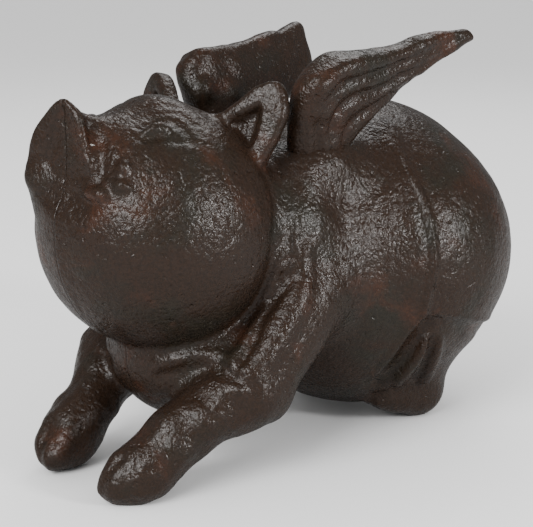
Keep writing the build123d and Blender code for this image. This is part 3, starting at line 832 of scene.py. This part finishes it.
def rust_group():
    """Rust and old wax in patches: a rust mask, a grey mask and a fine speckle mask."""
    bench, given, place = new_group("rust and age", {"Amount": 0.5})
    patch = bench.noise(place, PATCH_WAVES, detail=5.0, roughness=0.62, distortion=0.4)
    start = bench.sum("SUBTRACT", RUST_START, bench.sum("MULTIPLY", given["Amount"], RUST_SPREAD))
    rust = bench.spread(patch, start, RUST_FULL)
    shifted = bench.node("VectorMath", {0: place, 1: GREY_SHIFT}, operation="ADD").outputs["Vector"]
    worn = bench.noise(shifted, GREY_WAVES, detail=4.0, roughness=0.6, distortion=0.3)
    grey = bench.spread(worn, *GREY_RANGE)
    speckle = bench.spread(bench.noise(place, SPECKLE_WAVES, roughness=0.7), *SPECKLE_RANGE)
    bench.give({"Rust": rust, "Grey": grey, "Speckle": speckle})


# Materials


GRAIN_RANGE = (0.3, 0.7)
PIT_DEPTH, SPECKLE_SHARE = 0.6, 0.45
SOOT = (0.006, 0.0045, 0.004, 1)
PAINT_ROUGHNESS, PAINT_IOR = (0.20, 0.36), 1.36
PAINT_BUMP, PAINT_BUMP_DEPTH = 0.62, 0.00055
STEEL_DARK, STEEL_BRIGHT = (0.30, 0.29, 0.27, 1), (0.52, 0.51, 0.49, 1)
STEEL_WAVES, STEEL_WEAR_WAVES, STEEL_SCRATCH_WAVES = 300, 900, 2400
STEEL_ROUGHNESS = (0.28, 0.48)
STEEL_BUMP, STEEL_BUMP_DEPTH = 0.25, 0.0002


def new_material(name):
    """A new material with the bench for its nodes and its shader."""
    material = bpy.data.materials.new(name)
    material.use_nodes = True
    return material, Bench(material.node_tree), material.node_tree.nodes["Principled BSDF"]


def opaque(colour):
    """A colour as a socket takes it."""
    return tuple(colour) + (1,)


def painted_iron(sizes):
    """Thick dark brown paint over rusty cast iron."""
    material, bench, shader = new_material("lacquered cast iron")
    groups = bpy.data.node_groups
    skin = bench.node("Group", node_tree=groups["cast iron skin"])
    bench.feed(skin, "Grain Size", sizes.grain_size / MM)
    bench.feed(skin, "Pits", PIT_DEPTH)
    age = bench.node("Group", node_tree=groups["rust and age"])
    bench.feed(age, "Amount", sizes.rust_amount)
    colour = bench.mix(age.outputs["Grey"], opaque(sizes.paint_colour), opaque(sizes.grey_colour))
    colour = bench.mix(age.outputs["Rust"], colour, opaque(sizes.rust_colour))
    dark = bench.sum("MULTIPLY", age.outputs["Speckle"], SPECKLE_SHARE)
    bench.feed(shader, "Base Color", bench.mix(dark, colour, SOOT))
    bench.feed(shader, "Roughness", bench.spread(skin.outputs["Grain"], *GRAIN_RANGE, *PAINT_ROUGHNESS))
    bench.feed(shader, "IOR", PAINT_IOR)
    bump = bench.node("Bump", {"Height": skin.outputs["Height"], "Strength": PAINT_BUMP,
                               "Distance": PAINT_BUMP_DEPTH})
    bench.feed(shader, "Normal", bump.outputs["Normal"])
    return material


def plain_steel():
    """Oiled turned steel, a little dull."""
    material, bench, shader = new_material("oiled steel")
    place = bench.node("TexCoord").outputs["Object"]
    dull = bench.noise(place, STEEL_WAVES, detail=4.0, roughness=0.6)
    bench.feed(shader, "Base Color", bench.mix(dull, STEEL_DARK, STEEL_BRIGHT))
    wear = bench.noise(place, STEEL_WEAR_WAVES, detail=3.0, roughness=0.6)
    bench.feed(shader, "Roughness", bench.spread(wear, *GRAIN_RANGE, *STEEL_ROUGHNESS))
    bench.feed(shader, "Metallic", 1.0)
    scratches = bench.noise(place, STEEL_SCRATCH_WAVES, roughness=0.6)
    bump = bench.node("Bump", {"Height": scratches, "Strength": STEEL_BUMP, "Distance": STEEL_BUMP_DEPTH})
    bench.feed(shader, "Normal", bump.outputs["Normal"])
    return material


# Sizes and colours that a user would change


class PigSizes(bpy.types.PropertyGroup):
    """Sizes of the sculpting."""

    body_grain: bpy.props.FloatProperty(
        name="Body mesh size", description="Size of a face on the body", default=0.0007, min=0.0004,
        unit="LENGTH")
    wing_grain: bpy.props.FloatProperty(
        name="Wing mesh size", description="Size of a face on the wings", default=0.0005, min=0.0003,
        unit="LENGTH")


class PigFinish(bpy.types.PropertyGroup):
    """Colours and sizes of the paint."""

    grain_size: bpy.props.FloatProperty(
        name="Grain size", description="Size of the pebbles in the cast skin", default=0.0011,
        min=0.0002, unit="LENGTH")
    rust_amount: bpy.props.FloatProperty(
        name="Rust", description="How much rust shows through", default=0.5, min=0, max=1,
        subtype="FACTOR")
    paint_colour: bpy.props.FloatVectorProperty(
        name="Paint", description="Colour of the paint", default=(0.0195, 0.0108, 0.0066),
        subtype="COLOR", size=3)
    grey_colour: bpy.props.FloatVectorProperty(
        name="Worn paint", description="Colour of dulled paint", default=(0.0150, 0.0122, 0.0082),
        subtype="COLOR", size=3)
    rust_colour: bpy.props.FloatVectorProperty(
        name="Rust colour", description="Colour of the rust patches", default=(0.036, 0.0145, 0.0078),
        subtype="COLOR", size=3)


class PigStudio(bpy.types.PropertyGroup):
    """The floor and the lights."""

    floor_colour: bpy.props.FloatVectorProperty(
        name="Floor", description="Colour of the floor", default=(0.85, 0.85, 0.85), subtype="COLOR",
        size=3)
    floor_mirrored: bpy.props.FloatProperty(
        name="Floor in the paint", description="Brightness of the floor as the paint mirrors it",
        default=0.4, min=0, max=1, subtype="FACTOR")
    fill: bpy.props.FloatProperty(
        name="Fill", description="Light of the room on matt surfaces", default=1.2, min=0)
    surround: bpy.props.FloatProperty(
        name="Surround", description="Brightness of the room as the paint mirrors it", default=0.22,
        min=0)
    backdrop: bpy.props.FloatProperty(
        name="Backdrop", description="Brightness of the backdrop seen", default=1.6, min=0)
    key_power: bpy.props.FloatProperty(
        name="Side light", description="Power of the softbox at the side", default=5.7, min=0,
        unit="POWER")
    front_power: bpy.props.FloatProperty(
        name="Front light", description="Power of the soft light at the front", default=11.0, min=0,
        unit="POWER")
    top_power: bpy.props.FloatProperty(
        name="Top light", description="Power of the soft light behind and above", default=3.0, min=0,
        unit="POWER")


# Operators


def dress(piece, material, node):
    """Gives a piece its material and its body, and hides the CAD node that it stands for."""
    piece.data.materials.append(material)
    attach(piece, "root")
    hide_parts(node)


class PIG_OT_finishes(bpy.types.Operator):
    """Mixes the paint and the steel finish"""

    bl_idname = "pig.finishes"
    bl_label = "Finishes"

    def execute(self, context):
        cast_skin_group()
        rust_group()
        painted_iron(context.scene.pig_finish)
        plain_steel()
        return {"FINISHED"}


class PIG_OT_body(bpy.types.Operator):
    """Sculpts the two cast halves of the pig"""

    bl_idname = "pig.body"
    bl_label = "Body halves"

    def execute(self, context):
        paint = bpy.data.materials["lacquered cast iron"]
        shared = sculpt_body(context.scene.pig_sizes.body_grain / MM)
        field = shared.field.copy()
        for name, side, seed in (("left_body", 1, 11), ("right_body", -1, 23)):
            shared.field = field.copy()
            vertices, quads = finish_side(shared, side, seed)
            half = mesh_object(name, vertices, quads)
            trim(half, (0, 0, 0), (-side, 0, 0))
            trim(half, (0, 0, 0), (0, 0, -1))
            dress(half, paint, name + "_half")
        return {"FINISHED"}


class PIG_OT_wings(bpy.types.Operator):
    """Sculpts the two cast wings"""

    bl_idname = "pig.wings"
    bl_label = "Wings"

    def execute(self, context):
        paint = bpy.data.materials["lacquered cast iron"]
        step = context.scene.pig_sizes.wing_grain / MM
        wings = (("left_wing", LEFT_WING_PLACE, LEFT_WING_OUTLINE, LEFT_FEATHERS, LEFT_BUMPS, 31),
                 ("right_wing", RIGHT_WING_PLACE, RIGHT_WING_OUTLINE, RIGHT_FEATHERS, RIGHT_BUMPS, 47))
        for name, place, outline, lines, bumps, seed in wings:
            vertices, quads = sculpt_wing(place, outline, lines, bumps, step, seed)
            wing = mesh_object(name + "_casting", vertices, quads)
            dress(wing, paint, name)
        return {"FINISHED"}


class PIG_OT_fasteners(bpy.types.Operator):
    """Gives the CAD pieces their finish: steel on the fasteners, paint on the castings"""

    bl_idname = "pig.fasteners"
    bl_label = "Fasteners"

    def execute(self, context):
        paint = bpy.data.materials["lacquered cast iron"]
        steel = bpy.data.materials["oiled steel"]
        for name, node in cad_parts.items():
            cast = name.endswith("_half") or name.endswith("_wing")
            node.data.materials.clear()
            node.data.materials.append(paint if cast else steel)
        return {"FINISHED"}


STUDIO_CENTRE = (0, 0, 0.05)
# Each lamp: its name, the size that holds its power, its angle round from the front towards the pig's left,
# its angle up, its distance, and its width and height
LAMPS = (("side softbox", "key_power", 103, 17, 0.9, 0.14, 0.19),
         ("front light", "front_power", 16, 33, 1.0, 0.5, 0.5),
         ("top light", "top_power", -145, 48, 1.1, 0.5, 0.4))
CAMERA_PLACE = (0.24107, -0.23019, 0.12125)
CAMERA_ROUND, CAMERA_DOWN = 47, 12.7
CAMERA_LENS, CAMERA_SENSOR, CAMERA_NEAREST = 84.6, 36, 0.01
FLOOR_REACH, FLOOR_ROUGHNESS = 40.0, 0.9


def direction(azimuth, height):
    """A direction by its angle round from the front towards the pig's left and its angle up."""
    a, e = radians(azimuth), radians(height)
    return Vector((sin(a) * cos(e), -cos(a) * cos(e), sin(e)))


def stand(name, data, place, forward):
    """A new object in the scene at a place, looking forward."""
    thing = bpy.data.objects.new(name, data)
    bpy.context.scene.collection.objects.link(thing)
    thing.location = place
    thing.rotation_mode = "QUATERNION"
    thing.rotation_quaternion = forward.to_track_quat("-Z", "Y")
    return thing


def set_camera(scene):
    """The camera where the photographer stood."""
    data = bpy.data.cameras.new("camera")
    data.sensor_width = CAMERA_SENSOR
    data.lens = CAMERA_LENS
    data.clip_start = CAMERA_NEAREST
    scene.camera = stand("camera", data, CAMERA_PLACE, -direction(CAMERA_ROUND, CAMERA_DOWN))


def lay_floor(scene, studio):
    """A wide pale floor, which the paint mirrors darker than the camera sees it."""
    mesh = bpy.data.meshes.new("floor")
    corners = [(x * FLOOR_REACH, y * FLOOR_REACH, 0) for x, y in ((-1, -1), (1, -1), (1, 1), (-1, 1))]
    mesh.from_pydata(corners, [], [(0, 1, 2, 3)])
    floor = bpy.data.objects.new("floor", mesh)
    scene.collection.objects.link(floor)
    white, bench, shader = new_material("floor")
    seen = opaque(studio.floor_colour)
    mirrored = opaque(c * studio.floor_mirrored for c in studio.floor_colour)
    glossy = bench.node("LightPath").outputs["Is Glossy Ray"]
    bench.feed(shader, "Base Color", bench.mix(glossy, seen, mirrored))
    bench.feed(shader, "Roughness", FLOOR_ROUGHNESS)
    mesh.materials.append(white)


def light_room(scene, studio):
    """The room's own light, of one brightness on matt surfaces, one in the paint and one as it is seen."""
    world = bpy.data.worlds.new("studio")
    scene.world = world
    world.use_nodes = True
    bench = Bench(world.node_tree)
    path = bench.node("LightPath")
    strength = bench.spread(path.outputs["Is Camera Ray"], 0.0, 1.0, studio.fill, studio.backdrop)
    strength = bench.node("Mix", {"Factor": path.outputs["Is Glossy Ray"], "A": strength,
                                  "B": studio.surround}).outputs["Result"]
    ground = world.node_tree.nodes["Background"]
    bench.feed(ground, "Color", (1, 1, 1, 1))
    bench.feed(ground, "Strength", strength)


def hang_lamps(studio):
    """The soft area lights, all aimed at the middle of the pig."""
    centre = Vector(STUDIO_CENTRE)
    for name, power, azimuth, up, distance, width, height in LAMPS:
        light = bpy.data.lights.new(name, "AREA")
        light.shape = "RECTANGLE"
        light.energy = getattr(studio, power)
        light.size = width
        light.size_y = height
        place = direction(azimuth, up) * distance + centre
        stand(name, light, place, centre - place)


class PIG_OT_studio(bpy.types.Operator):
    """Sets up the camera, the floor and the soft lights"""

    bl_idname = "pig.studio"
    bl_label = "Studio"

    def execute(self, context):
        scene = context.scene
        set_camera(scene)
        lay_floor(scene, scene.pig_studio)
        light_room(scene, scene.pig_studio)
        hang_lamps(scene.pig_studio)
        return {"FINISHED"}


class PIG_PT_panel(bpy.types.Panel):
    """Lists the sizes, the colours and the operators of the pig"""

    bl_idname = "PIG_PT_panel"
    bl_label = "Winged pig"
    bl_space_type = "VIEW_3D"
    bl_region_type = "UI"
    bl_category = "Pig"

    def draw(self, context):
        for group in (context.scene.pig_sizes, context.scene.pig_finish, context.scene.pig_studio):
            box = self.layout.box()
            for name in group.__annotations__:
                box.prop(group, name)
        for step in STEPS:
            self.layout.operator(step.bl_idname)


GROUPS = (("pig_sizes", PigSizes), ("pig_finish", PigFinish), ("pig_studio", PigStudio))
STEPS = (PIG_OT_finishes, PIG_OT_body, PIG_OT_wings, PIG_OT_fasteners, PIG_OT_studio)


def register():
    """Adds the sizes, the operators and the panel to Blender."""
    for name, group in GROUPS:
        bpy.utils.register_class(group)
        setattr(bpy.types.Scene, name, bpy.props.PointerProperty(type=group))
    for thing in STEPS + (PIG_PT_panel,):
        bpy.utils.register_class(thing)


def unregister():
    """Takes them out again."""
    for thing in (PIG_PT_panel,) + STEPS[::-1]:
        bpy.utils.unregister_class(thing)
    for name, group in GROUPS[::-1]:
        delattr(bpy.types.Scene, name)
        bpy.utils.unregister_class(group)


def main():
    """Builds the whole scene round the frame."""
    register()
    bpy.ops.pig.finishes()
    bpy.ops.pig.body()
    bpy.ops.pig.wings()
    bpy.ops.pig.fasteners()
    bpy.ops.pig.studio()


if __name__ == "__main__":
    main()
